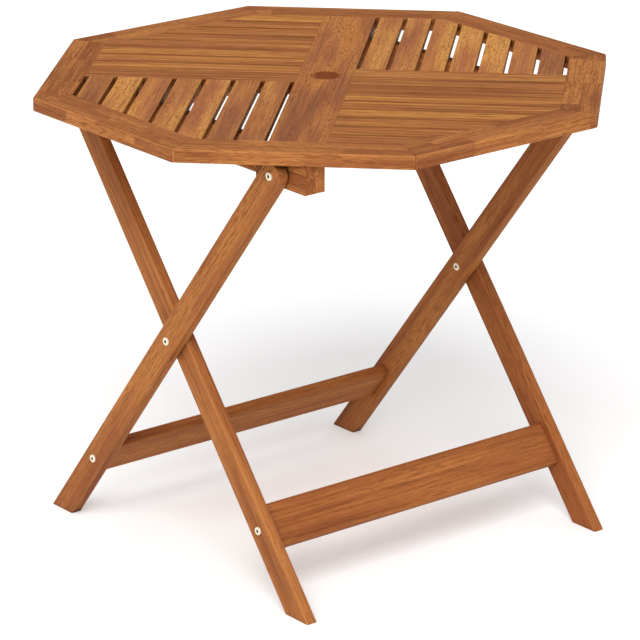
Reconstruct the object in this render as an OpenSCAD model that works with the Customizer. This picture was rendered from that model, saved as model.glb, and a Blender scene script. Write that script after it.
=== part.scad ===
// Folding octagonal garden table in oiled hardwood.
// Millimetres, +Z up. The origin lies on the floor under the middle of the top.
// X runs along the folding axes, from the left legs to the right legs, and the front is -Y.

/* [Top] */
// Width of the octagonal top over two opposite sides
top_width = 900; // [840:10:960]
// Height of the upper face above the floor
table_height = 775; // [740:5:800]
// Width of the rim boards
rim_width = 60; // [50:1:70]
// Thickness of the rim boards, the centre board and the cross rails
rim_thick = 22; // [20:1:26]
// Bevel along the upper outer edge of the rim
rim_ease = 2.5; // [1:0.5:5]
// Width of the small flat on each corner of the rim
corner_flat = 8; // [2:1:14]
// Width of the centre board
centre_width = 90; // [80:1:110]
// Diameter of the parasol hole
parasol_hole = 50; // [36:1:60]

/* [Slats and boards] */
// Thickness of the slats and the closed boards
slat_thick = 14; // [12:1:16]
// Width of the gaps between the slats
slot_width = 7.4; // [5:0.2:10]
// Slats in each open quarter
slats = 7; // [7:1:7]
// Closed boards in each closed quarter, the cross rail not counted
boards = 8; // [8:1:8]
// Joint between two closed boards
board_gap = 0.4; // [0.2:0.1:1]
// Bevel along the upper edges of the slats
slat_ease = 1.2; // [0.5:0.1:2]
// Bevel along the upper edges of the closed boards
board_ease = 0.7; // [0.3:0.1:1.2]

/* [Joinery] */
// Thickness of the tongues on the ends of the slats and boards
tongue_thick = 6; // [5:0.5:7]
// Length of the tongues
tongue_length = 8; // [6:0.5:10]
// Play of a tongue in its groove, on each face
tongue_play = 0.1; // [0.05:0.05:0.2]
// Play at the bottom of a groove
groove_play = 0.5; // [0.2:0.1:1]
// Length of the loose key in each mitre, along the mitre
key_length = 30; // [20:1:36]
// Width of the key, across the mitre
key_width = 24; // [16:1:30]
// Thickness of the key
key_thick = 4; // [3:0.5:5]

/* [Battens] */
// Depth of the battens below the rim
batten_depth = 45; // [42:1:52]
// Thickness of the battens
batten_thick = 18; // [16:1:22]
// Distance that the batten ends stay inside the edge of the top
batten_inset = 14; // [10:1:30]
// Distance of the pivot bolts inside the front side of the top
pivot_inset = 177; // [165:1:190]
// Distance that the spacer blocks reach past the pivot bolts, towards the middle
spacer_reach = 60; // [40:2:80]

/* [Legs] */
// Width of the legs
leg_width = 45; // [40:1:50]
// Thickness of the legs
leg_thick = 20; // [18:0.5:22]
// Bevel along the long edges of the legs
leg_ease = 2.5; // [1:0.5:4]
// Clearance between two neighbouring legs, and between a leg and a batten
leg_gap = 0.5; // [0.4:0.1:1]
// Distance of the outermost legs inside the left and right sides of the top
leg_inset = 121; // [105:1:140]
// Distance of the middle of each sole inside the front and back sides of the top
foot_inset = 140; // [120:2:160]
// Clearance between the round leg tops and the underside of the rim
end_clear = 1.5; // [1:0.5:3]

/* [Stretchers and catch bar] */
// Width of the two stretchers, along the legs
stretcher_width = 75; // [60:1:90]
// Thickness of the stretchers and the catch bar
stretcher_thick = 20; // [18:1:22]
// Distance from the soles up the legs to the middle of a stretcher
stretcher_lift = 155; // [130:5:180]
// Width of the catch bar, along the legs
bar_width = 40; // [34:1:44]
// Clearance of the catch bar in the notches of the battens
notch_clear = 0.4; // [0.3:0.1:0.8]

/* [Fasteners] */
// Diameter of the pivot and crossing bolts
bolt_diameter = 8; // [7:0.5:9]
// Diameter of the thinner, threaded end of a bolt
thread_diameter = 5.8; // [5:0.1:6]
// Running clearance of a bolt in its bore, on the radius
bolt_play = 0.05; // [0.03:0.01:0.09]
// Diameter of the flat round bolt and nut heads
head_diameter = 13; // [11:0.5:15]
// Thickness of the bolt and nut heads
head_thick = 2.5; // [2:0.1:3.5]
// Size across the flats of the hexagon sockets
socket_size = 5; // [4:0.5:6]
// Diameter of the screws through the legs into the stretchers
frame_screw_diameter = 6; // [5:0.5:7]
// Length of those screws under the head
frame_screw_length = 65; // [50:1:80]
// Diameter of the wood screws in the battens
batten_screw_diameter = 4; // [3.5:0.5:5]
// Diameter of the heads of those screws
batten_screw_head = 8; // [7:0.5:9]
// Thickness of the heads of those screws
batten_screw_head_thick = 2.5; // [2:0.5:3]
// Depth that those screws reach into the slats
slat_bite = 9; // [7:0.5:10]
// Depth that those screws reach into the rim
rim_bite = 14; // [10:1:16]
// Length of those screws under the head, at the slats
slat_screw_length = 30; // [25:1:36]
// Length of those screws under the head, at the rim
rim_screw_length = 35; // [30:1:40]
// Distance of the rim screws from the batten ends
end_screw_inset = 20; // [16:1:24]

/* [Hidden] */

// Facets of the bores, bolts and round ends
$fn = 64;

// Plan of the top, in a frame whose Y axis runs along the centre board
half = top_width / 2;
inner_half = half - rim_width;
centre_half = centre_width / 2;
rim_bottom = table_height - rim_thick;
slat_bottom = table_height - slat_thick;
tongue_bottom = table_height - slat_thick / 2 - tongue_thick / 2;
groove_depth = tongue_length + groove_play;
slat_width = (inner_half - centre_half - (slats + 1) * slot_width) / slats;
board_pitch = (inner_half + centre_half) / (boards + 1);
grain_turn = -45;
side_turn = 45;
corner_turn = side_turn / 2;
corner_reach = half / cos(corner_turn) - corner_flat / 2 * tan(corner_turn);
corner_side = (corner_reach - half * cos(corner_turn)) / sin(corner_turn);
rim_middle = (inner_half + half) / 2 / cos(corner_turn);

// Distance of the middle line of a slat from the middle of the top
function slat_line(i) = centre_half + i * slot_width + (i - 0.5) * slat_width;

// The layers from the left legs to the right legs
layer = leg_thick + leg_gap;
frame_half = half - leg_inset;
spacer_thick = layer;
pivot_left_x = -frame_half;
catch_left_x = -frame_half + layer;
pivot_right_x = frame_half - layer - leg_thick;
catch_right_x = frame_half - leg_thick;
spacer_left_x = -frame_half + layer;
batten_left_x = spacer_left_x + spacer_thick;
spacer_right_x = pivot_right_x - leg_gap - spacer_thick;
batten_right_x = spacer_right_x - batten_thick;
frame_inside = pivot_right_x - pivot_left_x - leg_thick;

// Slope of the legs, which run from the soles through the crossing bolts to the pivot bolts
foot_reach = half - foot_inset;
pivot_y = pivot_inset - half;
pivot_z = rim_bottom - leg_width / 2 - end_clear;
cross_height = pivot_z * foot_reach / (foot_reach - pivot_y);
slope = atan2(cross_height, foot_reach);
lean = 90 - slope;

// Places along the legs, measured from the crossing bolts
foot_length = cross_height / sin(slope);
stretcher_drop = foot_length - stretcher_lift;
pivot_length = (pivot_z - cross_height) / sin(slope);
batten_bottom = rim_bottom - batten_depth;
bar_length = (batten_bottom - cross_height) / sin(slope);
catch_length = bar_length + leg_width / 3;

// The battens
batten_half = half * sqrt(2) - (frame_half - layer - spacer_thick) - batten_inset;
raised_half = batten_right_x - centre_half * sqrt(2) - 1;
left_batten_middle = batten_left_x + batten_thick / 2;
right_batten_middle = batten_right_x + batten_thick / 2;
first_screw_slat = 2;
last_screw_slat = 5;
end_screw_y = batten_half - end_screw_inset;
spacer_length = batten_half + pivot_y + spacer_reach;

wood = [0.66, 0.40, 0.23];
wood_light = [0.74, 0.48, 0.28];
wood_dark = [0.56, 0.33, 0.20];
wood_leg = [0.60, 0.35, 0.19];
zinc = [0.84, 0.82, 0.76];

// A point of the catch legs' side view, from its place across and along the leg, as [y, z]
function catch_point(across, along) = [
    across * sin(slope) + along * cos(slope),
    cross_height - across * cos(slope) + along * sin(slope)
];

// Regular octagon over two opposite sides, in plan
module octagon(reach) {
    rotate(corner_turn)
        circle(r = reach / cos(corner_turn), $fn = 8);
}

// Lays pieces drawn in the frame of the centre board into the table
module along_grain() {
    rotate([0, 0, grain_turn])
        children();
}

// Extrudes a side view, drawn as [y, z], from x over a thickness
module side_plate(x, thick) {
    translate([x, 0, 0])
        rotate([90, 0, 90])
            linear_extrude(height = thick)
                children();
}

// Round bar along X
module rod(x, y, z, length, diameter) {
    translate([x, y, z])
        rotate([0, 90, 0])
            cylinder(h = length, d = diameter);
}

// Bores in the top for the wood screws at the batten ends
module rim_screw_bores() {
    for (x = [left_batten_middle, right_batten_middle], y = [-end_screw_y, end_screw_y])
        translate([x, y, rim_bottom - 1])
            cylinder(h = 1 + rim_bite + bolt_play, d = batten_screw_diameter + 2 * bolt_play);
}

// One mitred rim board. The sides are counted from the right side, against the clock.
module rim(side, tone) {
    color(tone)
    difference() {
        rotate([0, 0, side * side_turn])
            difference() {
                intersection() {
                    rotate([90, 0, 0])
                        translate([0, 0, -half])
                            linear_extrude(height = top_width)
                                polygon([
                                    [inner_half, rim_bottom],
                                    [half, rim_bottom],
                                    [half, table_height - rim_ease],
                                    [half - rim_ease, table_height],
                                    [inner_half, table_height],
                                    [inner_half, tongue_bottom + tongue_thick + tongue_play],
                                    [inner_half + groove_depth, tongue_bottom + tongue_thick + tongue_play],
                                    [inner_half + groove_depth, tongue_bottom - tongue_play],
                                    [inner_half, tongue_bottom - tongue_play]
                                ]);
                    translate([0, 0, rim_bottom - 1])
                        linear_extrude(height = rim_thick + 2)
                            polygon([
                                [0, 0],
                                [corner_reach * cos(corner_turn), corner_reach * sin(corner_turn)],
                                [half, corner_side],
                                [half + 1, corner_side],
                                [half + 1, -corner_side],
                                [half, -corner_side],
                                [corner_reach * cos(corner_turn), -corner_reach * sin(corner_turn)]
                            ]);
                }
                for (turn = [-corner_turn, corner_turn])
                    rotate([0, 0, turn])
                        key(tongue_play);
            }
        rim_screw_bores();
    }
}

// The loose key of one mitre, lying along X, with play on every face
module key(play) {
    translate([rim_middle, 0, rim_bottom + rim_thick / 2])
        cube([key_length + 2 * play, key_width + 2 * play, key_thick + 2 * play], center = true);
}

module mitre_keys() {
    color(wood_light)
    for (k = [0:7])
        rotate([0, 0, corner_turn + side_turn * k])
            key(0);
}

// The wide board through the middle, tongued into the rim and grooved for the closed boards
module centre_board() {
    color(wood)
    along_grain()
        difference() {
            union() {
                rotate([90, 0, 0])
                    translate([0, 0, -inner_half])
                        linear_extrude(height = 2 * inner_half)
                            polygon([
                                [-centre_half, rim_bottom],
                                [centre_half, rim_bottom],
                                [centre_half, table_height - board_ease],
                                [centre_half - board_ease, table_height],
                                [board_ease - centre_half, table_height],
                                [-centre_half, table_height - board_ease]
                            ]);
                translate([-centre_half, -inner_half - tongue_length, tongue_bottom])
                    cube([centre_width, 2 * (inner_half + tongue_length), tongue_thick]);
            }
            translate([0, 0, rim_bottom - 1])
                cylinder(h = rim_thick + 2, d = parasol_hole);
            for (turn = [0, 180])
                rotate([0, 0, turn])
                    translate([-centre_half - 1, -centre_half - tongue_play, tongue_bottom - tongue_play])
                        cube([
                            groove_depth + 1,
                            inner_half + centre_half + tongue_length + 1,
                            tongue_thick + 2 * tongue_play
                        ]);
        }
}

// A closed board of the back quarter, drawn along X. Number 0 is the thick cross rail.
module closed_board(number, thick) {
    near = -centre_half + number * board_pitch + (number > 0 ? board_gap : 0);
    far = -centre_half + (number + 1) * board_pitch;
    last = number == boards;
    difference() {
        union() {
            intersection() {
                translate([0, 0, table_height - thick])
                    linear_extrude(height = thick)
                        intersection() {
                            octagon(inner_half);
                            translate([-half, near])
                                square([half - centre_half, far - near]);
                        }
                rotate([90, 0, 90])
                    translate([0, 0, -half])
                        linear_extrude(height = half)
                            polygon([
                                [near, table_height - thick],
                                [far, table_height - thick],
                                [far, table_height - board_ease],
                                [far - board_ease, table_height],
                                [near + board_ease, table_height],
                                [near, table_height - board_ease]
                            ]);
            }
            translate([0, 0, tongue_bottom])
                linear_extrude(height = tongue_thick)
                    intersection() {
                        octagon(inner_half + tongue_length);
                        translate([-half, near])
                            square([
                                half - centre_half + tongue_length,
                                far - near + (last ? tongue_length : 0)
                            ]);
                    }
        }
        if (number == 0)
            translate([-half, near - 1, tongue_bottom - tongue_play])
                cube([
                    half - centre_half,
                    groove_depth + 1,
                    tongue_thick + 2 * tongue_play
                ]);
    }
}

module back_board(number, tone) {
    color(tone)
    along_grain()
        closed_board(number, slat_thick);
}

module front_board(number, tone) {
    color(tone)
    along_grain()
        rotate([0, 0, 180])
            closed_board(number, slat_thick);
}

module cross_rail(turn) {
    color(wood_light)
    along_grain()
        rotate([0, 0, turn])
            closed_board(0, rim_thick);
}

// A slat of the left quarter, drawn along Y, with the bore of its batten screw
module slat(number, batten_middle) {
    middle = -slat_line(number);
    low = middle - slat_width / 2;
    high = middle + slat_width / 2;
    difference() {
        union() {
            intersection() {
                translate([0, 0, slat_bottom])
                    linear_extrude(height = slat_thick)
                        intersection() {
                            octagon(inner_half);
                            translate([low, -half])
                                square([slat_width, half - centre_half]);
                        }
                rotate([90, 0, 0])
                    linear_extrude(height = half)
                        polygon([
                            [low, slat_bottom],
                            [high, slat_bottom],
                            [high, table_height - slat_ease],
                            [high - slat_ease, table_height],
                            [low + slat_ease, table_height],
                            [low, table_height - slat_ease]
                        ]);
            }
            translate([0, 0, tongue_bottom])
                linear_extrude(height = tongue_thick)
                    intersection() {
                        octagon(inner_half + tongue_length);
                        translate([low, -half])
                            square([slat_width, half - centre_half + tongue_length]);
                    }
        }
        if (number >= first_screw_slat && number <= last_screw_slat)
            translate([middle, -abs(batten_middle) * sqrt(2) - middle, slat_bottom - 1])
                cylinder(h = 1 + slat_bite + bolt_play, d = batten_screw_diameter + 2 * bolt_play);
    }
}

module left_slat(number, tone) {
    color(tone)
    along_grain()
        slat(number, left_batten_middle);
}

module right_slat(number, tone) {
    color(tone)
    along_grain()
        rotate([0, 0, 180])
            slat(number, right_batten_middle);
}

// Places of the slat screws along the battens
left_screws = [
    for (i = [first_screw_slat:last_screw_slat]) left_batten_middle + sqrt(2) * slat_line(i)
];
right_screws = [
    for (i = [first_screw_slat:last_screw_slat]) right_batten_middle - sqrt(2) * slat_line(i)
];

// The notch that drops over the catch bar: it follows the bar on the front side and on its end
module notch() {
    across = stretcher_thick / 2 + notch_clear;
    along = bar_length + bar_width / 2 + notch_clear;
    depth = bar_width;
    polygon([
        catch_point(-across, along),
        catch_point(across, along),
        [catch_point(across, along)[0], batten_bottom - 1],
        catch_point(across, bar_length - depth),
        catch_point(-across, bar_length - depth)
    ]);
}

// Side view of a batten: full depth under the slats, lower at both ends under the rim
module batten_outline() {
    difference() {
        polygon([
            [-batten_half, batten_bottom],
            [batten_half, batten_bottom],
            [batten_half, rim_bottom],
            [raised_half, rim_bottom],
            [raised_half, slat_bottom],
            [-raised_half, slat_bottom],
            [-raised_half, rim_bottom],
            [-batten_half, rim_bottom]
        ]);
        notch();
    }
}

// Counterbored screw hole in a batten, for a screw whose tip lies at the given height
module batten_screw_hole(x, y, tip, length) {
    head_seat = tip - length;
    translate([x, y, head_seat - 0.01])
        cylinder(h = length, d = batten_screw_diameter + 2 * bolt_play);
    translate([x, y, batten_bottom - 1])
        cylinder(h = head_seat - batten_bottom + 1, d = batten_screw_head + 1);
}

module batten(x, middle, screws) {
    color(wood_dark)
    difference() {
        side_plate(x, batten_thick)
            batten_outline();
        rod(x - 1, pivot_y, pivot_z, batten_thick + 2, bolt_diameter + 2 * bolt_play);
        for (y = screws)
            batten_screw_hole(middle, y, slat_bottom + slat_bite, slat_screw_length);
        for (y = [-end_screw_y, end_screw_y])
            batten_screw_hole(middle, y, rim_bottom + rim_bite, rim_screw_length);
    }
}

module batten_screw(x, y, tip, length) {
    translate([x, y, tip - length])
        cylinder(h = length, d = batten_screw_diameter);
    translate([x, y, tip - length - batten_screw_head_thick])
        cylinder(h = batten_screw_head_thick, d = batten_screw_head);
}

module batten_screws() {
    color(zinc) {
        for (y = left_screws)
            batten_screw(left_batten_middle, y, slat_bottom + slat_bite, slat_screw_length);
        for (y = right_screws)
            batten_screw(right_batten_middle, y, slat_bottom + slat_bite, slat_screw_length);
        for (x = [left_batten_middle, right_batten_middle], y = [-end_screw_y, end_screw_y])
            batten_screw(x, y, rim_bottom + rim_bite, rim_screw_length);
    }
}

// The block beside a batten, around the pivot bolt, as thick as a leg and its clearance
module spacer(x) {
    color(wood_dark)
    difference() {
        translate([x, -batten_half, batten_bottom])
            cube([spacer_thick, spacer_length, batten_depth]);
        rod(x - 1, pivot_y, pivot_z, spacer_thick + 2, bolt_diameter + 2 * bolt_play);
    }
}

// A leg, leaning by the given angle about the crossing bolt, its sole cut level
module leg(x, angle, top_length) {
    difference() {
        translate([x, 0, cross_height])
            rotate([angle, 0, 0])
                intersection() {
                    translate([0, 0, -foot_length - leg_width])
                        linear_extrude(height = foot_length + top_length + 2 * leg_width)
                            polygon([
                                [leg_ease, -leg_width / 2],
                                [leg_thick - leg_ease, -leg_width / 2],
                                [leg_thick, leg_ease - leg_width / 2],
                                [leg_thick, leg_width / 2 - leg_ease],
                                [leg_thick - leg_ease, leg_width / 2],
                                [leg_ease, leg_width / 2],
                                [0, leg_width / 2 - leg_ease],
                                [0, leg_ease - leg_width / 2]
                            ]);
                    side_plate(0, leg_thick)
                        union() {
                            translate([-leg_width / 2, -foot_length - leg_width])
                                square([leg_width, foot_length + leg_width + top_length]);
                            translate([0, top_length])
                                circle(d = leg_width);
                        }
                }
        translate([x - 1, -top_width, -2 * leg_width])
            cube([leg_thick + 2, 2 * top_width, 2 * leg_width]);
        rod(x - 1, 0, cross_height, leg_thick + 2, bolt_diameter + 2 * bolt_play);
    }
}

// Runs its children at a place along a leg that leans by the given angle
module at_leg(angle, along) {
    translate([0, 0, cross_height])
        rotate([angle, 0, 0])
            translate([0, 0, along])
                children();
}

module frame_screw_bore(x, angle, along, length) {
    at_leg(angle, along)
        rod(x, 0, 0, length, frame_screw_diameter + 2 * bolt_play);
}

module pivot_leg(x) {
    color(wood_leg)
    difference() {
        leg(x, lean, pivot_length);
        rod(x - 1, pivot_y, pivot_z, leg_thick + 2, bolt_diameter + 2 * bolt_play);
        frame_screw_bore(x - 1, lean, -stretcher_drop, leg_thick + 2);
    }
}

module catch_leg(x) {
    color(wood_leg)
    difference() {
        leg(x, -lean, catch_length);
        frame_screw_bore(x - 1, -lean, -stretcher_drop, leg_thick + 2);
        frame_screw_bore(x - 1, -lean, bar_length, leg_thick + 2);
    }
}

// A bar between the two legs of a frame, with a screw bore in each end
module cross_bar(x, angle, along, width) {
    bite = frame_screw_length - leg_thick + 1;
    difference() {
        at_leg(angle, along)
            side_plate(x, frame_inside)
                polygon([
                    [leg_ease - stretcher_thick / 2, -width / 2],
                    [stretcher_thick / 2 - leg_ease, -width / 2],
                    [stretcher_thick / 2, leg_ease - width / 2],
                    [stretcher_thick / 2, width / 2 - leg_ease],
                    [stretcher_thick / 2 - leg_ease, width / 2],
                    [leg_ease - stretcher_thick / 2, width / 2],
                    [-stretcher_thick / 2, width / 2 - leg_ease],
                    [-stretcher_thick / 2, leg_ease - width / 2]
                ]);
        frame_screw_bore(x - 1, angle, along, bite + 1);
        frame_screw_bore(x + frame_inside - bite, angle, along, bite + 1);
    }
}

module pivot_stretcher() {
    color(wood_leg)
    cross_bar(pivot_left_x + leg_thick, lean, -stretcher_drop, stretcher_width);
}

module catch_stretcher() {
    color(wood_leg)
    cross_bar(catch_left_x + leg_thick, -lean, -stretcher_drop, stretcher_width);
}

module catch_bar() {
    color(wood_leg)
    cross_bar(catch_left_x + leg_thick, -lean, bar_length, bar_width);
}

// Flat round head with a hexagon socket, its seat at x and its top towards the given side
module head(x, side) {
    difference() {
        rod(side > 0 ? x : x - head_thick, 0, 0, head_thick, head_diameter);
        translate([side > 0 ? x + head_thick * 0.3 : x - head_thick - 1, 0, 0])
            rotate([0, 90, 0])
                cylinder(h = head_thick * 0.7 + 1, d = socket_size / cos(30), $fn = 6);
    }
}

module frame_screw(x, side, angle, along) {
    at_leg(angle, along) {
        head(x, side);
        rod(side > 0 ? x - frame_screw_length : x, 0, 0, frame_screw_length, frame_screw_diameter);
    }
}

module pivot_frame_screws() {
    color(zinc) {
        frame_screw(pivot_left_x, -1, lean, -stretcher_drop);
        frame_screw(pivot_right_x + leg_thick, 1, lean, -stretcher_drop);
    }
}

module catch_frame_screws() {
    color(zinc)
    for (along = [-stretcher_drop, bar_length]) {
        frame_screw(catch_left_x, -1, -lean, along);
        frame_screw(catch_right_x + leg_thick, 1, -lean, along);
    }
}

// Bolt from its head at x towards the side it runs to, stepped down to its threaded end
module bolt(x, side, y, z, grip, sleeve) {
    translate([0, y, z]) {
        head(x, -side);
        rod(side > 0 ? x : x - grip + sleeve, 0, 0, grip - sleeve, bolt_diameter);
        rod(side > 0 ? x : x - grip + 1, 0, 0, grip - 1, thread_diameter);
    }
}

// Sleeve nut, its head seated at x, that takes the threaded end of the bolt
module sleeve_nut(x, side, y, z, sleeve) {
    play = bolt_play;
    translate([0, y, z])
        difference() {
            union() {
                rod(side > 0 ? x : x - sleeve + play, 0, 0, sleeve - play, bolt_diameter);
                head(x, -side);
            }
            rod(side > 0 ? x : x - sleeve - 1, 0, 0, sleeve + 1, thread_diameter + 2 * play);
        }
}

pivot_grip = leg_thick + leg_gap + spacer_thick + batten_thick;
cross_grip = 2 * leg_thick + leg_gap;
pivot_sleeve = batten_thick - 2;
cross_sleeve = leg_thick - 2;

module top_pivot_bolts() {
    color(zinc) {
        bolt(pivot_left_x, 1, pivot_y, pivot_z, pivot_grip, pivot_sleeve);
        bolt(pivot_right_x + leg_thick, -1, pivot_y, pivot_z, pivot_grip, pivot_sleeve);
    }
}

module top_pivot_nuts() {
    color(zinc) {
        sleeve_nut(batten_left_x + batten_thick, -1, pivot_y, pivot_z, pivot_sleeve);
        sleeve_nut(batten_right_x, 1, pivot_y, pivot_z, pivot_sleeve);
    }
}

module cross_bolts() {
    color(zinc) {
        bolt(pivot_left_x, 1, 0, cross_height, cross_grip, cross_sleeve);
        bolt(pivot_right_x, 1, 0, cross_height, cross_grip, cross_sleeve);
    }
}

module cross_nuts() {
    color(zinc) {
        sleeve_nut(catch_left_x + leg_thick, -1, 0, cross_height, cross_sleeve);
        sleeve_nut(catch_right_x + leg_thick, -1, 0, cross_height, cross_sleeve);
    }
}

rim(6, wood);  // rim_front
rim(7, wood_light);  // rim_front_right
rim(0, wood);  // rim_right
rim(1, wood_light);  // rim_back_right
rim(2, wood);  // rim_back
rim(3, wood_light);  // rim_back_left
rim(4, wood);  // rim_left
rim(5, wood_light);  // rim_front_left
mitre_keys();
centre_board();
cross_rail(0);  // cross_rail_back_left
cross_rail(180);  // cross_rail_front_right
left_slat(1, wood_light);  // left_slat_1
left_slat(2, wood);  // left_slat_2
left_slat(3, wood_light);  // left_slat_3
left_slat(4, wood_dark);  // left_slat_4
left_slat(5, wood_light);  // left_slat_5
left_slat(6, wood);  // left_slat_6
left_slat(7, wood_dark);  // left_slat_7
right_slat(1, wood);  // right_slat_1
right_slat(2, wood_dark);  // right_slat_2
right_slat(3, wood_light);  // right_slat_3
right_slat(4, wood_light);  // right_slat_4
right_slat(5, wood);  // right_slat_5
right_slat(6, wood_light);  // right_slat_6
right_slat(7, wood_dark);  // right_slat_7
back_board(1, wood);  // back_board_1
back_board(2, wood_dark);  // back_board_2
back_board(3, wood_light);  // back_board_3
back_board(4, wood);  // back_board_4
back_board(5, wood_dark);  // back_board_5
back_board(6, wood_light);  // back_board_6
back_board(7, wood);  // back_board_7
back_board(8, wood_dark);  // back_board_8
front_board(1, wood);  // front_board_1
front_board(2, wood_light);  // front_board_2
front_board(3, wood_dark);  // front_board_3
front_board(4, wood);  // front_board_4
front_board(5, wood_light);  // front_board_5
front_board(6, wood_dark);  // front_board_6
front_board(7, wood);  // front_board_7
front_board(8, wood_light);  // front_board_8
batten(batten_left_x, left_batten_middle, left_screws);  // batten_left
batten(batten_right_x, right_batten_middle, right_screws);  // batten_right
spacer(spacer_left_x);  // spacer_left
spacer(spacer_right_x);  // spacer_right
batten_screws();
pivot_leg(pivot_left_x);  // pivot_leg_left
pivot_leg(pivot_right_x);  // pivot_leg_right
pivot_stretcher();
pivot_frame_screws();
catch_leg(catch_left_x);  // catch_leg_left
catch_leg(catch_right_x);  // catch_leg_right
catch_stretcher();
catch_bar();
catch_frame_screws();
top_pivot_bolts();
top_pivot_nuts();
cross_bolts();
cross_nuts();
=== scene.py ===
import math

import bpy
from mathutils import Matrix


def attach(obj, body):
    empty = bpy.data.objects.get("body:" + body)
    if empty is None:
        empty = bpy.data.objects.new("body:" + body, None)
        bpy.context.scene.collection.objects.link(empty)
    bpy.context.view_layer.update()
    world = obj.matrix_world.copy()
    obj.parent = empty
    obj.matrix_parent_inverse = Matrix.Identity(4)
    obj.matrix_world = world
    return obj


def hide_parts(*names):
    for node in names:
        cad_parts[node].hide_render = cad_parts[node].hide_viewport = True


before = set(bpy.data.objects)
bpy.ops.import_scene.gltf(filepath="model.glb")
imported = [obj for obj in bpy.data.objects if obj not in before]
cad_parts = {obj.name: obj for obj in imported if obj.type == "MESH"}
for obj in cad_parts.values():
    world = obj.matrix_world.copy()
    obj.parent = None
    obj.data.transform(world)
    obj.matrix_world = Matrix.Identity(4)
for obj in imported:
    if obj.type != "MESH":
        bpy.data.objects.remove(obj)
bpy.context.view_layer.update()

scene = bpy.context.scene


# ---------------------------------------------------------------------------------------------
# The view. A long lens looks down on the table from the front left, as in the photograph,
# so that all the upright edges stay nearly parallel.
# ---------------------------------------------------------------------------------------------
def in_scene(name, data):
    """A new object of the scene, which holds this camera, lamp or mesh."""
    made = bpy.data.objects.new(name, data)
    scene.collection.objects.link(made)
    return made


lens = bpy.data.cameras.new("view_from_front_left")
lens.sensor_width = 36.0
lens.lens = 203.2
lens.clip_end = 60.0
camera = in_scene("view_from_front_left", lens)
camera.location = (-3.5659, -4.4428, 2.3168)
camera.rotation_euler = (math.radians(70.980), math.radians(0.027), math.radians(-38.667))
scene.camera = camera
scene.view_settings.view_transform = "Standard"


# ---------------------------------------------------------------------------------------------
# The studio. A seamless white floor, matt with a faint polish, stands in a white room, with
# one very wide soft lamp from the front left.
# ---------------------------------------------------------------------------------------------
def bare(holder):
    """Turns on the nodes of a material or a world, and clears them."""
    holder.use_nodes = True
    holder.node_tree.nodes.clear()
    return holder.node_tree


def add(tree, kind, plugs=None, **settings):
    """Adds a node, with its settings, and plugs a link or a value into each named input."""
    made = tree.nodes.new(kind)
    for key, value in settings.items():
        setattr(made, key, value)
    for key, value in (plugs or {}).items():
        if isinstance(value, bpy.types.NodeSocket):
            tree.links.new(value, made.inputs[key])
        else:
            made.inputs[key].default_value = value
    return made


def maths(tree, operation, *terms):
    """One Math node, with one to three numbers or links. Returns its result."""
    return add(tree, "ShaderNodeMath", dict(enumerate(terms)), operation=operation).outputs[0]


white = (1.0, 1.0, 1.0, 1.0)
floor_half = 8.0
floor_colour = (0.90, 0.90, 0.90, 1.0)
floor_glow = 0.24
floor_polish = 0.04
polish_blur = 0.22

floor_material = bpy.data.materials.new("white_studio_floor")
paint = bare(floor_material)
matt = add(paint, "ShaderNodeBsdfDiffuse", {"Color": floor_colour}).outputs[0]
polish = add(paint, "ShaderNodeBsdfGlossy", {"Color": white, "Roughness": polish_blur}).outputs[0]
surface = add(paint, "ShaderNodeMixShader", {0: floor_polish, 1: matt, 2: polish}).outputs[0]
floor_rays = add(paint, "ShaderNodeLightPath").outputs
seen = maths(paint, "MAXIMUM", floor_rays["Is Camera Ray"], floor_rays["Is Glossy Ray"])
seen_glow = maths(paint, "MULTIPLY", seen, floor_glow)
glow = add(paint, "ShaderNodeEmission", {"Color": white, "Strength": seen_glow}).outputs[0]
whole = add(paint, "ShaderNodeAddShader", {0: surface, 1: glow}).outputs[0]
add(paint, "ShaderNodeOutputMaterial", {"Surface": whole})

floor_mesh = bpy.data.meshes.new("studio_floor")
floor_corners = [(-1, -1), (1, -1), (1, 1), (-1, 1)]
floor_mesh.from_pydata([(x * floor_half, y * floor_half, 0.0) for x, y in floor_corners], [], [(0, 1, 2, 3)])
floor_mesh.materials.append(floor_material)
floor = in_scene("studio_floor", floor_mesh)

# The room is white to the camera, lights the table less, and shines less in its polish.
room_light = 0.60
room_shine = 0.12
room = bpy.data.worlds.new("white_room")
scene.world = room
air = bare(room)
room_rays = add(air, "ShaderNodeLightPath").outputs
strength = maths(air, "MULTIPLY_ADD", room_rays["Is Camera Ray"], 1.0 - room_light, room_light)
strength = maths(air, "MULTIPLY_ADD", room_rays["Is Glossy Ray"], room_shine - room_light, strength)
backdrop = add(air, "ShaderNodeBackground", {"Color": white, "Strength": strength}).outputs[0]
add(air, "ShaderNodeOutputWorld", {"Surface": backdrop})

lamp_data = bpy.data.lights.new("wide_front_lamp", "SUN")
lamp_data.energy = 2.1
lamp_data.angle = math.radians(38.0)
lamp = in_scene("wide_front_lamp", lamp_data)
lamp.rotation_euler = (math.radians(45.0), 0.0, math.radians(-47.0))


# ---------------------------------------------------------------------------------------------
# The rim. Eight boards of oiled hardwood, 60 by 22 mm, are mitred into an octagon, glued with
# a loose key in each mitre, and rounded along the upper outer arris. Corners are blunted.
# The wood's pattern is built here, with painted shade in narrow gaps and a painted highlight on rounded
# arrises, and every board of the table uses it.
# ---------------------------------------------------------------------------------------------
def linear(*parts):
    """A colour as the eye picks it, three parts of 0 to 255, as Blender's linear colour."""
    shares = [part / 255.0 for part in parts]
    return tuple(s / 12.92 if s <= 0.04045 else ((s + 0.055) / 1.055) ** 2.4 for s in shares) + (1.0,)


def tones(light, body, dark):
    """The three colours of one board's wood, as settings of its material."""
    return {"light_wood": linear(*light), "body_wood": linear(*body), "dark_wood": linear(*dark)}


def new_socket(tree, name, kind, value=None, way="INPUT"):
    """A named input or output of a node group, of this kind."""
    socket = tree.interface.new_socket(name=name, in_out=way, socket_type=f"NodeSocket{kind}")
    if value is not None:
        socket.default_value = value


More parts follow.
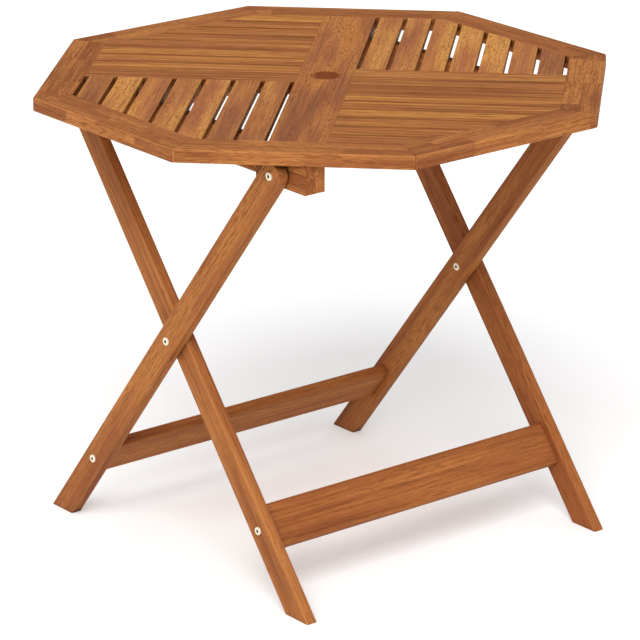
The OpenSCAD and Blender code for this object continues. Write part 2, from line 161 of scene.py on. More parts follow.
def vector(tree, x=0.0, y=0.0, z=0.0):
    """Three numbers or links as one vector."""
    return add(tree, "ShaderNodeCombineXYZ", {0: x, 1: y, 2: z}).outputs[0]


def axes_of(tree, place):
    """The X, Y and Z of a vector."""
    return add(tree, "ShaderNodeSeparateXYZ", {0: place}).outputs


def blended(tree, amount, first, second):
    """The first colour blended towards the second by this amount."""
    plugs = {0: amount, 6: first, 7: second}
    return add(tree, "ShaderNodeMix", plugs, data_type="RGBA").outputs[2]


def hardwood_grain():
    """The pattern of oiled hardwood: X runs along the grain, and each board number differs."""
    tree = bpy.data.node_groups.new("hardwood_grain", "ShaderNodeTree")
    for name in ("Vector", "From middle", "Facing"):
        new_socket(tree, name, "Vector")
    for name, value in (
        ("Board", 0.0), ("Board contrast", 1.0), ("Grain length", 1.0), ("Zones", 1.0),
        ("Streaks", 1.0), ("Threads", 1.0), ("Pore depth", 1.0), ("Glue line", 0.0),
        ("Across", 0.0), ("Joint at", 1.0), ("Joint width", 0.0012), ("Rubbed arris", 0.45),
        ("End grain", 0.2), ("Dirt reach", 0.016),
    ):
        new_socket(tree, name, "Float", value)
    for name, colour in (
        ("Light wood", (204, 142, 76)), ("Body wood", (171, 108, 63)), ("Dark wood", (134, 80, 52)),
        ("Pores", (98, 46, 14)), ("End wood", (86, 44, 22)), ("Dirt", (52, 22, 10)),
    ):
        new_socket(tree, name, "Color", linear(*colour))
    for name, kind in (("Colour", "Color"), ("Roughness", "Float"), ("Height", "Float")):
        new_socket(tree, name, kind, way="OUTPUT")
    given = add(tree, "NodeGroupInput").outputs

    def moved(first, operation, second):
        """One step of arithmetic with two vectors."""
        return add(tree, "ShaderNodeVectorMath", {0: first, 1: second}, operation=operation).outputs[0]

    def noise(place, along, across, detail, roughness=0.5):
        """Noise with this many features to the metre along and across the grain."""
        scaled = moved(place, "MULTIPLY", (along, across, across))
        plugs = {"Vector": scaled, "Scale": 1.0, "Detail": detail, "Roughness": roughness}
        return add(tree, "ShaderNodeTexNoise", plugs).outputs

    def between(value, low, high):
        """0 up to low, 1 from high, and smooth between them."""
        plugs = {0: value, 1: low, 2: high}
        return add(tree, "ShaderNodeMapRange", plugs, interpolation_type="SMOOTHSTEP").outputs[0]

    def times(first, second):
        return maths(tree, "MULTIPLY", first, second)

    # Every board comes from its own place in the log, and has its own tone.
    half = (0.5, 0.5, 0.5)
    from_log = add(tree, "ShaderNodeTexWhiteNoise", {"W": given["Board"]}, noise_dimensions="1D").outputs
    away = moved(moved(from_log["Color"], "SUBTRACT", half), "MULTIPLY", (9.0, 0.6, 0.4))
    longer = vector(tree, given["Grain length"], 1.0, 1.0)
    place = moved(moved(given["Vector"], "ADD", away), "DIVIDE", longer)
    tone = times(maths(tree, "SUBTRACT", from_log["Value"], 0.5), given["Board contrast"])

    # The fibres wander a little from side to side.
    wander = moved(noise(place, 2.2, 9.0, 2.0)["Color"], "SUBTRACT", half)
    bent = moved(place, "ADD", moved(wander, "MULTIPLY", (0.0, 0.020, 0.020)))

    # Growth rings lie round the heart of the log, which runs below the board or beside it.
    heart = moved(moved(from_log["Color"], "MULTIPLY", (0.0, 0.13, 0.07)), "ADD", (0.0, -0.065, 0.035))
    ripple = moved(wander, "MULTIPLY", (0.0, 0.016, 0.016))
    from_heart = moved(moved(given["From middle"], "MULTIPLY", (0.0, 1.0, 1.0)), "ADD", heart)
    from_heart = moved(from_heart, "ADD", ripple)
    radius = add(tree, "ShaderNodeVectorMath", {0: from_heart}, operation="LENGTH").outputs["Value"]
    rings_per_metre = 230.0
    years = maths(tree, "MULTIPLY_ADD", given["Board"], 3.7, times(radius, rings_per_metre))
    plugs = {"W": years, "Scale": 1.0, "Detail": 2.0, "Roughness": 0.6}
    rings = add(tree, "ShaderNodeTexNoise", plugs, noise_dimensions="1D").outputs[0]

    # From the broadest feature of the wood to the finest.
    zones = maths(tree, "MULTIPLY_ADD", tone, 0.20, noise(bent, 2.6, 20.0, 2.0, 0.45)[0])
    clouds = noise(bent, 7.0, 42.0, 2.0)[0]
    streaks = noise(bent, 2.6, 190.0, 4.0, 0.72)[0]
    threads = noise(bent, 5.0, 420.0, 1.0)[0]
    fibres = noise(bent, 14.0, 560.0, 2.0, 0.6)[0]
    dashes = noise(bent, 64.0, 520.0, 1.5)[0]
    vessels = noise(bent, 150.0, 1300.0, 1.0)[0]

    # Golden and rosy zones, soft clouds, rings, and long light and dark streaks.
    golden = times(between(zones, 0.47, 0.66), given["Zones"])
    rosy = times(between(zones, 0.50, 0.34), given["Zones"])
    sunny = between(clouds, 0.52, 0.72)
    shady = between(clouds, 0.46, 0.28)
    ringed = times(between(rings, 0.54, 0.70), given["Streaks"])
    bright = times(between(streaks, 0.52, 0.62), given["Streaks"])
    dim = times(between(streaks, 0.48, 0.36), given["Streaks"])

    # Fine threads and fibres, and pores cut open as dark dashes, most of all in golden wood.
    broken = times(between(threads, 0.56, 0.66), between(dashes, 0.40, 0.56))
    thread = times(broken, given["Threads"])
    fibre = times(between(fibres, 0.50, 0.30), given["Pore depth"])
    silky = times(between(fibres, 0.54, 0.72), given["Pore depth"])
    pored = times(between(dashes, 0.51, 0.66), maths(tree, "MULTIPLY_ADD", golden, 0.7, 0.5))
    dash = times(pored, given["Pore depth"])
    vessel = times(between(vessels, 0.56, 0.72), given["Pore depth"])

    # Dirt packs the joint beside the next board, and painted shade darkens the narrow gaps and hollows.
    # The arrises get a painted highlight, and cut ends drink more oil.
    beside = maths(tree, "SUBTRACT", given["Joint at"], maths(tree, "ABSOLUTE", given["Across"]))
    joint = between(beside, given["Joint width"], times(given["Joint width"], 0.3))
    packed = maths(tree, "MULTIPLY_ADD", between(fibres, 0.58, 0.42), 0.5, 0.5)
    facing = axes_of(tree, given["Facing"])
    to_end, to_side, to_top = (maths(tree, "ABSOLUTE", facing[axis]) for axis in "XYZ")
    # Painted highlight: faces whose normals lie between side and top, the rounded arrises, are blended
    # towards the light wood.
    arris_highlight = between(maths(tree, "MINIMUM", to_side, to_top), 0.22, 0.50)
    ends = between(to_end, 0.45, 0.85)
    # Painted shade: an ambient occlusion mask darkens the colour to near black in narrow gaps, slots and
    # hollows.
    open_sky = add(tree, "ShaderNodeAmbientOcclusion", {"Distance": given["Dirt reach"]}, samples=6)
    painted_gap_shade = between(open_sky.outputs["AO"], 0.66, 0.16)

    colour = given["Body wood"]
    for mask, share, finish in (
        (golden, 0.80, "Light wood"), (rosy, 0.70, "Dark wood"),
        (sunny, 0.26, "Light wood"), (shady, 0.24, "Dark wood"),
        (ringed, 0.40, "Dark wood"), (bright, 0.55, "Light wood"), (dim, 0.60, "Dark wood"),
        (thread, 0.60, "Pores"), (fibre, 0.34, "Pores"), (silky, 0.30, "Light wood"),
        (dash, 0.48, "Pores"), (vessel, 0.35, "Pores"), (given["Glue line"], 0.70, "Pores"),
        (joint, packed, "Pores"), (arris_highlight, given["Rubbed arris"], "Light wood"),
        (ends, given["End grain"], "End wood"), (painted_gap_shade, 0.85, "Dirt"),
    ):
        colour = blended(tree, times(mask, share), colour, given[finish])
    value = maths(tree, "MULTIPLY_ADD", tone, 0.08, 1.0)
    colour = add(tree, "ShaderNodeHueSaturation", {"Value": value, "Color": colour}).outputs[0]

    rough = maths(tree, "MULTIPLY_ADD", fibres, 0.20, 0.48)
    rough = maths(tree, "MULTIPLY_ADD", dash, 0.15, rough)
    height = maths(tree, "MULTIPLY_ADD", dash, -0.7, fibres)
    height = maths(tree, "MULTIPLY_ADD", vessel, -0.5, height)
    height = maths(tree, "MULTIPLY_ADD", given["Glue line"], -1.0, height)
    add(tree, "NodeGroupOutput", {"Colour": colour, "Roughness": rough, "Height": height})
    return tree


grain_pattern = hardwood_grain()


def hardwood(name, turn, middle, glue=None, first_board=0.0, **values):
    """A board material. turn brings the grain to lie along X, with the board's middle line at
    middle, (y, z) in that turned frame. Where y is None the board carries it as an attribute."""
    material = bpy.data.materials.new(name)
    tree = bare(material)
    here = add(tree, "ShaderNodeTexCoord").outputs
    along = add(tree, "ShaderNodeMapping", {"Vector": here["Object"], "Rotation": turn}).outputs[0]
    plugs = {"Vector": here["Normal"], "Rotation": turn}
    facing = add(tree, "ShaderNodeMapping", plugs, vector_type="VECTOR").outputs[0]
    board = add(tree, "ShaderNodeAttribute", attribute_name="board").outputs["Fac"]
    board = maths(tree, "ADD", board, first_board)
    across = add(tree, "ShaderNodeAttribute", attribute_name="across").outputs["Fac"]
    there = axes_of(tree, along)
    middle_y, middle_z = middle
    aside = across if middle_y is None else maths(tree, "SUBTRACT", there["Y"], middle_y)
    from_middle = vector(tree, 0.0, aside, maths(tree, "SUBTRACT", there["Z"], middle_z))
    plugs = {
        "Vector": along, "From middle": from_middle, "Board": board, "Across": across, "Facing": facing,
    }
    if glue:
        strips = add(tree, "ShaderNodeGroup", {"Vector": along, "Board": board}, node_tree=glue).outputs
        plugs.update({"Board": strips["Strip"], "Glue line": strips["Glue line"]})
    plugs.update({key.replace("_", " ").capitalize(): value for key, value in values.items()})
    grain = add(tree, "ShaderNodeGroup", plugs, node_tree=grain_pattern).outputs
    relief = add(tree, "ShaderNodeBump", {"Height": grain["Height"], "Strength": 0.35, "Distance": 0.0004})
    plugs = {
        "Base Color": grain["Colour"],
        "Roughness": grain["Roughness"],
        "Normal": relief.outputs[0],
        "Specular IOR Level": 0.10,
    }
    wood = add(tree, "ShaderNodeBsdfPrincipled", plugs).outputs[0]
    add(tree, "ShaderNodeOutputMaterial", {"Surface": wood})
    return material


def follow(piece, tree, **inputs):
    """Makes a piece follow a geometry rule, with these of its inputs."""
    rule = piece.modifiers.new("rule", "NODES")
    rule.node_group = tree
    for socket in tree.interface.items_tree:
        key = socket.name.lower().replace(" ", "_")
        if socket.in_out == "INPUT" and key in inputs:
            rule[socket.identifier] = inputs[key]


def plain(piece):
    """Turns a piece and its modifiers into a plain mesh, with no empty material slot."""
    graph = bpy.context.evaluated_depsgraph_get()
    graph.update()
    drawn = piece.data
    piece.data = bpy.data.meshes.new_from_object(
        piece.evaluated_get(graph), preserve_all_data_layers=True, depsgraph=graph
    )
    piece.data.name = piece.name
    piece.modifiers.clear()
    if piece.data.materials[0] is None:
        piece.data.materials.pop(index=0)
    bpy.data.meshes.remove(drawn)
    return piece


def made_by(tree, name, end_arris=0.0, **sizes):
    """Runs a geometry rule with these sizes, and keeps the result as a plain mesh."""
    piece = in_scene(name, bpy.data.meshes.new(name))
    follow(piece, tree, **sizes)
    if end_arris:
        eased = piece.modifiers.new("eased cut edges", "BEVEL")
        eased.limit_method = "ANGLE"
        eased.angle_limit = math.radians(60.0)
        eased.width = end_arris
        eased.segments = 3
    flats = piece.modifiers.new("flat faces stay flat", "WEIGHTED_NORMAL")
    flats.keep_sharp = True
    return plain(piece)


def stored(tree, geometry, name, value, kind="FLOAT", domain="POINT"):
    """Keeps a value on the geometry under this name."""
    plugs = {"Geometry": geometry, "Name": name, "Value": value}
    return add(tree, "GeometryNodeStoreNamedAttribute", plugs, data_type=kind, domain=domain).outputs[0]


sharp_bend = math.radians(42.0)


def smooth_and_numbered(tree, geometry, board):
    """Smooth faces with sharp corners kept, and the board's number stored on it."""
    numbered = stored(tree, geometry, "board", board)
    plugs = {"Geometry": numbered, "Shade Smooth": True}
    smooth = add(tree, "GeometryNodeSetShadeSmooth", plugs).outputs[0]
    bend = add(tree, "GeometryNodeInputMeshEdgeAngle").outputs["Unsigned Angle"]
    corner = add(tree, "FunctionNodeCompare", {0: bend, 1: sharp_bend}, operation="GREATER_THAN").outputs[0]
    plugs = {"Geometry": smooth, "Selection": corner, "Shade Smooth": False}
    return add(tree, "GeometryNodeSetShadeSmooth", plugs, domain="EDGE").outputs[0]


def bar_of(tree, outline, start, end):
    """A bar with this outline, from start to end along Y. The outline is drawn as (x, -z)."""
    path = add(tree, "GeometryNodeCurvePrimitiveLine", {"Start": start, "End": end}).outputs[0]
    plugs = {"Curve": path, "Profile Curve": outline, "Fill Caps": True}
    return add(tree, "GeometryNodeCurveToMesh", plugs).outputs[0]


def turned(tree, geometry, angle):
    """Turns the geometry about the upright axis."""
    plugs = {"Geometry": geometry, "Rotation": vector(tree, z=angle)}
    return add(tree, "GeometryNodeTransform", plugs).outputs[0]


sides = 8
half_corner = math.radians(180.0 / sides)
cutter_depth = 2.0


def inside_octagon(tree, geometry, reach, angle):
    """What lies inside an eight-sided cutter, reach from its middle to each side."""
    corner_reach = maths(tree, "DIVIDE", reach, math.cos(half_corner))
    plugs = {"Vertices": sides, "Radius": corner_reach, "Depth": cutter_depth}
    cutter = turned(tree, add(tree, "GeometryNodeMeshCylinder", plugs).outputs["Mesh"], angle)
    cut = add(tree, "GeometryNodeMeshBoolean", {"Mesh 2": geometry}, operation="INTERSECT", solver="EXACT")
    tree.links.new(cutter, cut.inputs["Mesh 2"])
    return cut.outputs["Mesh"]


table_height = 0.775
thick_board = 0.022
inner_half = 0.390
rim_sizes = {
    "width_over_sides": 0.900,
    "board_width": 0.060,
    "thickness": thick_board,
    "height": table_height,
    "corner_reach": 0.48542,
    "upper_arris": 0.0028,
    "lower_arris": 0.0012,
    "inner_arris": 0.0004,
}
rim_directions = sides // 2


def rim_rule():
    """Eight mitred boards round the octagon. Opposite boards lie alike and share a material."""
    tree = bpy.data.node_groups.new("mitred_rim", "GeometryNodeTree")
    for name, value in rim_sizes.items():
        new_socket(tree, name.replace("_", " ").capitalize(), "Float", value)
    for number in range(rim_directions):
        new_socket(tree, f"Wood {number}", "Material")
    new_socket(tree, "Geometry", "Geometry", way="OUTPUT")
    given = add(tree, "NodeGroupInput").outputs
    outer = maths(tree, "DIVIDE", given["Width over sides"], 2.0)
    inner = maths(tree, "SUBTRACT", outer, given["Board width"])
    top = given["Height"]
    low = maths(tree, "SUBTRACT", top, given["Thickness"])
    corners = ((inner, top), (outer, top), (outer, low), (inner, low))
    plugs = {
        f"Point {number}": vector(tree, x, maths(tree, "MULTIPLY", z, -1.0))
        for number, (x, z) in enumerate(corners, start=1)
    }
    outline = add(tree, "GeometryNodeCurvePrimitiveQuadrilateral", plugs, mode="POINTS").outputs[0]
    index = add(tree, "GeometryNodeInputIndex").outputs[0]
    arris = given["Inner arris"]
    for corner, name in ((1, "Upper arris"), (2, "Lower arris")):
        plugs = {2: index, 3: corner}
        is_this = add(tree, "FunctionNodeCompare", plugs, data_type="INT", operation="EQUAL").outputs[0]
        plugs = {0: is_this, 1: arris, 2: given[name]}
        arris = add(tree, "GeometryNodeSwitch", plugs, input_type="FLOAT").outputs[0]
    plugs = {"Curve": outline, "Count": 4, "Radius": arris}
    outline = add(tree, "GeometryNodeFilletCurve", plugs, mode="POLY").outputs[0]
    raw_end = 0.1
    board = bar_of(tree, outline, (0.0, -raw_end, 0.0), (0.0, raw_end, 0.0))

    # Each end is cut along the mitre, and the sharp corner of the octagon is blunted.
    place = axes_of(tree, add(tree, "GeometryNodeInputPosition").outputs[0])
    end = maths(tree, "MULTIPLY", place["X"], math.tan(half_corner))
    end = maths(tree, "MULTIPLY", maths(tree, "SIGN", place["Y"]), end)
    plugs = {"Geometry": board, "Position": vector(tree, place["X"], end, place["Z"])}
    board = add(tree, "GeometryNodeSetPosition", plugs).outputs[0]
    board = inside_octagon(tree, board, given["Corner reach"], 0.0)

    place = axes_of(tree, add(tree, "GeometryNodeInputPosition").outputs[0])
    middle = maths(tree, "SUBTRACT", outer, maths(tree, "MULTIPLY", given["Board width"], 0.5))
    board = stored(tree, board, "across", maths(tree, "SUBTRACT", place["X"], middle))
    plugs = {
        "Points": add(tree, "GeometryNodePoints", {"Count": sides}).outputs[0],
        "Instance": board,
        "Rotation": vector(tree, z=maths(tree, "MULTIPLY", index, 2.0 * half_corner)),
    }
    around = add(tree, "GeometryNodeInstanceOnPoints", plugs).outputs[0]
    around = stored(tree, around, "side", index, kind="INT", domain="INSTANCE")
    whole = add(tree, "GeometryNodeRealizeInstances", {"Geometry": around}).outputs[0]
    side = add(tree, "GeometryNodeInputNamedAttribute", {"Name": "side"}, data_type="INT").outputs[0]
    whole = smooth_and_numbered(tree, whole, side)
    direction = maths(tree, "MODULO", side, float(rim_directions))
    for number in range(rim_directions):
        plugs = {0: direction, 1: number, "Epsilon": 0.1}
        chosen = add(tree, "FunctionNodeCompare", plugs, operation="EQUAL").outputs[0]
        plugs = {"Geometry": whole, "Selection": chosen, "Material": given[f"Wood {number}"]}
        whole = add(tree, "GeometryNodeSetMaterial", plugs).outputs[0]
    add(tree, "NodeGroupOutput", {"Geometry": whole})
    return tree


def glued_strips():
    """Each rim board is two strips glued edge to edge, of short lengths with finger joints."""
    tree = bpy.data.node_groups.new("glued_strips", "ShaderNodeTree")
    new_socket(tree, "Vector", "Vector")
    for name, value in (
        ("Board", 0.0), ("Inner edge", inner_half), ("Strip width", 0.030), ("Length", 0.140),
        ("Finger", 0.0028), ("Line width", 0.0008),
    ):
        new_socket(tree, name, "Float", value)
    new_socket(tree, "Strip", "Float", way="OUTPUT")
    new_socket(tree, "Glue line", "Float", way="OUTPUT")
    given = add(tree, "NodeGroupInput").outputs
    place = axes_of(tree, given["Vector"])
    outward = maths(tree, "ABSOLUTE", place["Y"])
    across = maths(tree, "SUBTRACT", outward, given["Inner edge"])
    across = maths(tree, "DIVIDE", across, given["Strip width"])
    strip = maths(tree, "MULTIPLY_ADD", given["Board"], 2.0, maths(tree, "FLOOR", across))
    shift = add(tree, "ShaderNodeTexWhiteNoise", {"W": strip}, noise_dimensions="1D").outputs["Value"]
    finger_reach = 3.5
    finger = maths(tree, "PINGPONG", place["Z"], given["Finger"])
    along = maths(tree, "MULTIPLY_ADD", finger, finger_reach, place["X"])
    along = maths(tree, "DIVIDE", along, given["Length"])
    length = maths(tree, "FLOOR", maths(tree, "MULTIPLY_ADD", shift, 3.0, along))

    # Each length of each strip gets a number, and so a place in the log, of its own.
    of_strip, of_length = 7.3, 0.171
    number = maths(tree, "MULTIPLY_ADD", length, of_length, maths(tree, "MULTIPLY", strip, of_strip))

    # The glue shows as a fine dark line at each mitre, and more faintly between the two strips.
    end = maths(tree, "MULTIPLY", outward, math.tan(half_corner))
    to_mitre = maths(tree, "SUBTRACT", end, maths(tree, "ABSOLUTE", place["X"]))
    plugs = {0: to_mitre, 1: given["Line width"], 2: maths(tree, "MULTIPLY", given["Line width"], 0.5)}
    line = add(tree, "ShaderNodeMapRange", plugs).outputs[0]
    to_seam = maths(tree, "ABSOLUTE", maths(tree, "SUBTRACT", across, 1.0))
    to_seam = maths(tree, "MULTIPLY", to_seam, given["Strip width"])
    faint = 0.55
    plugs = {0: to_seam, 1: given["Line width"], 2: 0.0, 4: faint}
    seam = add(tree, "ShaderNodeMapRange", plugs).outputs[0]
    line = maths(tree, "MAXIMUM", line, seam)
    add(tree, "NodeGroupOutput", {"Strip": number, "Glue line": line})
    return tree


thick_middle = table_height - thick_board / 2
rim_glue = glued_strips()
rim_woods = {
    f"wood_{number}": hardwood(
        f"rim_hardwood_{number}",
        (0.0, 0.0, math.radians(-90.0 - 45.0 * number)),
        (None, thick_middle),
        glue=rim_glue,
        first_board=3.0,
        board_contrast=1.5,
        zones=0.8,
        streaks=0.9,
        threads=0.7,
        # A weaker painted highlight on the rim's arrises.
        rubbed_arris=0.25,
        **tones((202, 134, 72), (174, 107, 59), (142, 80, 46)),
    )
    for number in range(rim_directions)
}
rim = made_by(rim_rule(), "rim", **rim_sizes, **rim_woods)
rim_names = ["right", "back_right", "back", "back_left", "left", "front_left", "front", "front_right"]
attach(rim, "top")
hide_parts(*[f"rim_{name}" for name in rim_names])


# ---------------------------------------------------------------------------------------------
# Slats, closed boards and cross rails. Planed boards with eased edges are tongued into the
# rim: spaced slats fill two opposite quarters, tight boards the other two, and the first board
# of each tight quarter is a thicker rail.
# ---------------------------------------------------------------------------------------------
def eased_outline(tree, width, thickness, height, arris):
    """The outline of a flat board with rounded arrises, its upper face at height."""
    plugs = {"Width": width, "Height": thickness}
    outline = add(tree, "GeometryNodeCurvePrimitiveQuadrilateral", plugs, mode="RECTANGLE").outputs[0]
    plugs = {"Curve": outline, "Count": 3, "Radius": arris}
    outline = add(tree, "GeometryNodeFilletCurve", plugs, mode="POLY").outputs[0]
    middle = maths(tree, "MULTIPLY_ADD", thickness, -0.5, height)
    plugs = {"Geometry": outline, "Translation": vector(tree, y=maths(tree, "MULTIPLY", middle, -1.0))}
    return add(tree, "GeometryNodeTransform", plugs).outputs[0]


def in_wood(tree, geometry):
    """Ends a rule with plain geometry in the wood that the rule was given."""
    given = add(tree, "NodeGroupInput").outputs
    whole = add(tree, "GeometryNodeRealizeInstances", {"Geometry": geometry}).outputs[0]
    whole = add(tree, "GeometryNodeSetMaterial", {"Geometry": whole, "Material": given["Wood"]}).outputs[0]
    add(tree, "NodeGroupOutput", {"Geometry": whole})
    return tree


def board_field_rule():
    """Boards side by side in one quarter of the octagon and again in the opposite quarter."""
    tree = bpy.data.node_groups.new("quarter_of_boards", "GeometryNodeTree")
    new_socket(tree, "Boards", "Int", 7)
    for name in (
        "Board width", "Pitch", "First middle", "Thickness", "Height", "Arris",
        "Inner half", "Centre half", "Turn",
    ):
        new_socket(tree, name, "Float", 0.0)
    new_socket(tree, "Wood", "Material")
    new_socket(tree, "Geometry", "Geometry", way="OUTPUT")
    given = add(tree, "NodeGroupInput").outputs
    outline = eased_outline(
        tree, given["Board width"], given["Thickness"], given["Height"], given["Arris"]
    )
    past_cut = 1.1
    outer_end = vector(tree, y=maths(tree, "MULTIPLY", given["Inner half"], -past_cut))
    inner_end = vector(tree, y=maths(tree, "MULTIPLY", given["Centre half"], -1.0))
    board = bar_of(tree, outline, outer_end, inner_end)
    first = maths(tree, "MULTIPLY", given["First middle"], -1.0)
    step = maths(tree, "MULTIPLY", given["Pitch"], -1.0)
    plugs = {
        "Count": given["Boards"],
        "Start Location": vector(tree, first),
        "Offset": vector(tree, step),
    }
    row = add(tree, "GeometryNodeMeshLine", plugs, mode="OFFSET").outputs[0]
    row = add(tree, "GeometryNodeInstanceOnPoints", {"Points": row, "Instance": board}).outputs[0]
    row = add(tree, "GeometryNodeRealizeInstances", {"Geometry": row}).outputs[0]
    quarter = inside_octagon(tree, row, given["Inner half"], half_corner)

    # Each point knows its board's number and how far it lies from that board's middle line.
    place = axes_of(tree, add(tree, "GeometryNodeInputPosition").outputs[0])
    from_first = maths(tree, "SUBTRACT", place["X"], first)
    number = maths(tree, "ROUND", maths(tree, "DIVIDE", from_first, step))
    last = maths(tree, "SUBTRACT", given["Boards"], 1.0)
    number = maths(tree, "MINIMUM", maths(tree, "MAXIMUM", number, 0.0), last)
    from_middle = maths(tree, "MULTIPLY_ADD", number, given["Pitch"], from_first)
    quarter = stored(tree, quarter, "across", from_middle)
    quarter = smooth_and_numbered(tree, quarter, number)

    # The opposite quarter is the same one turned half round, with the next numbers.
    far = turned(tree, quarter, math.pi)
    known = add(tree, "GeometryNodeInputNamedAttribute", {"Name": "board"}, data_type="FLOAT").outputs[0]
    far = stored(tree, far, "board", maths(tree, "ADD", known, given["Boards"]))
    both = add(tree, "GeometryNodeJoinGeometry", {"Geometry": quarter})
    tree.links.new(far, both.inputs["Geometry"])
    return in_wood(tree, turned(tree, both.outputs[0], given["Turn"]))


board_field = board_field_rule()
centre_half = 0.045
shared = {"height": table_height, "inner_half": inner_half, "centre_half": centre_half}
thin_board = 0.014
thin_middle = table_height - thin_board / 2

# Seven slats share what eight slots leave between the centre board and the rim.
slot_width = 0.0074
slat_count = 7
slat_width = (inner_half - centre_half - (slat_count + 1) * slot_width) / slat_count
slat_turn = math.radians(-45.0)
slats = made_by(
    board_field,
    "slats",
    boards=slat_count,
    board_width=slat_width,
    pitch=slat_width + slot_width,
    first_middle=centre_half + slot_width + slat_width / 2,
    thickness=thin_board,
    arris=0.0022,
    turn=slat_turn,
    wood=hardwood(
        "slat_hardwood",
        (0.0, 0.0, slat_turn),
        (None, thin_middle),
        first_board=5767.0,
        board_contrast=1.5,
        zones=1.2,
        streaks=0.7,
        threads=0.5,
        pore_depth=0.8,
        **tones((214, 150, 78), (188, 119, 68), (158, 96, 64)),
    ),
    **shared,
)
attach(slats, "top")
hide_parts(*[f"{side}_slat_{n}" for side in ("left", "right") for n in range(1, slat_count + 1)])

# One rail and eight boards fill each tight quarter, all at one pitch.
board_joint = 0.0004
board_count = 8
board_pitch = (inner_half + centre_half) / (board_count + 1)
closed_turn = math.radians(-135.0)
closed_grain = (0.0, 0.0, math.radians(45.0))
cut_end_arris = 0.0006
closed_boards = made_by(
    board_field,
    "closed_boards",
    boards=board_count,
    board_width=board_pitch - board_joint,
    pitch=board_pitch,
    first_middle=-centre_half + 1.5 * board_pitch + board_joint / 2,
    thickness=thin_board,
    arris=0.0008,
    end_arris=cut_end_arris,
    turn=closed_turn,
    wood=hardwood(
        "closed_board_hardwood",
        closed_grain,
        (None, thin_middle),
        first_board=50.0,
        board_contrast=0.4,
        zones=0.8,
        streaks=1.2,
        threads=1.1,
        grain_length=2.5,
        joint_at=(board_pitch - board_joint) / 2,
        joint_width=0.0046,
        **tones((219, 152, 74), (184, 115, 64), (142, 80, 46)),
    ),
    **shared,
)
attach(closed_boards, "top")
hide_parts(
    *[f"{side}_board_{n}" for side in ("back", "front") for n in range(1, board_count + 1)]
)

cross_rails = made_by(
    board_field,
    "cross_rails",
    boards=1,
    board_width=board_pitch,
    pitch=board_pitch,
    first_middle=-centre_half + board_pitch / 2,
    thickness=thick_board,
    arris=0.0007,
    end_arris=cut_end_arris,
    turn=closed_turn,
    wood=hardwood(
        "cross_rail_hardwood",
        closed_grain,
        (None, thick_middle),
        first_board=80.0,
        board_contrast=0.2,
        zones=0.5,
        streaks=1.5,
        grain_length=2.5,
        joint_at=board_pitch / 2,
        joint_width=0.0030,
        **tones((212, 147, 76), (182, 114, 64), (144, 82, 48)),
    ),
    **shared,
)
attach(cross_rails, "top")
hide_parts("cross_rail_back_left", "cross_rail_front_right")


# ---------------------------------------------------------------------------------------------
# The centre board. One wide plank of the same wood crosses the whole top, tongued into the rim,
# with the parasol hole bored through its middle and the hole's edges eased.
# ---------------------------------------------------------------------------------------------
centre_sizes = {
    "half_width": centre_half,
    "half_length": inner_half,
    "thickness": thick_board,
    "height": table_height,
    "arris": 0.0007,
    "hole_radius": 0.025,
}


def centre_board_rule():
    """A plank across the middle of the top, with a round hole bored through it."""
    tree = bpy.data.node_groups.new("plank_with_parasol_hole", "GeometryNodeTree")
    for name, value in centre_sizes.items():
        new_socket(tree, name.replace("_", " ").capitalize(), "Float", value)
    new_socket(tree, "Wood", "Material")
    new_socket(tree, "Geometry", "Geometry", way="OUTPUT")
    given = add(tree, "NodeGroupInput").outputs
    width = maths(tree, "MULTIPLY", given["Half width"], 2.0)
    outline = eased_outline(tree, width, given["Thickness"], given["Height"], given["Arris"])
    back = vector(tree, y=given["Half length"])
    front = vector(tree, y=maths(tree, "MULTIPLY", given["Half length"], -1.0))
    plank = bar_of(tree, outline, front, back)
    plugs = {"Vertices": 96, "Radius": given["Hole radius"], "Depth": cutter_depth}
    drill = add(tree, "GeometryNodeMeshCylinder", plugs).outputs["Mesh"]
    plugs = {"Mesh 1": plank, "Mesh 2": drill}
    bored = add(tree, "GeometryNodeMeshBoolean", plugs, operation="DIFFERENCE", solver="EXACT")
    return in_wood(tree, smooth_and_numbered(tree, turned(tree, bored.outputs["Mesh"], slat_turn), 0.0))


centre_board = made_by(
    centre_board_rule(),
    "centre_board_finished",
    end_arris=0.0010,
    wood=hardwood(
        "centre_board_hardwood",
        (0.0, 0.0, slat_turn),
        (0.0, thick_middle),
        first_board=93.0,
        zones=1.4,
        streaks=0.7,
        threads=0.5,
        pore_depth=0.75,
        # The plank's only end grain in view is the hole wall. It is darkened strongly: this is oil-soaked end
        # grain, deepened by painted shade inside the hole.
        end_grain=0.85,
        end_wood=linear(120, 60, 32),
        **tones((194, 126, 67), (164, 100, 60), (132, 81, 58)),
    ),
    **centre_sizes,
)
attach(centre_board, "top")
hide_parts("centre_board")


# ---------------------------------------------------------------------------------------------
# Battens, spacer blocks, mitre keys. Two planed battens are screwed up into the rim and slats
# from below, and a block beside each carries the leg pivot. The keys are hidden in the mitres.
# ---------------------------------------------------------------------------------------------
def dress(name, material):
    """Gives a node of the frame its material."""
    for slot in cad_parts[name].material_slots:
        slot.material = material


batten_middles = {"batten_left": 0.279, "spacer_left": 0.298, "batten_right": -0.2585, "spacer_right": -0.278}
batten_middle_z = 0.715
batten_woods = {}
for number, (name, middle_y) in enumerate(batten_middles.items()):
    batten_woods[name] = hardwood(
        f"{name}_hardwood",
        (0.0, 0.0, math.radians(-90.0)),
        (middle_y, batten_middle_z),
        first_board=100.0 + number,
        streaks=1.3,
        end_grain=0.0,
        **tones((204, 134, 72), (178, 108, 58), (138, 78, 42)),
    )
    dress(name, batten_woods[name])
dress("mitre_keys", batten_woods["batten_left"])


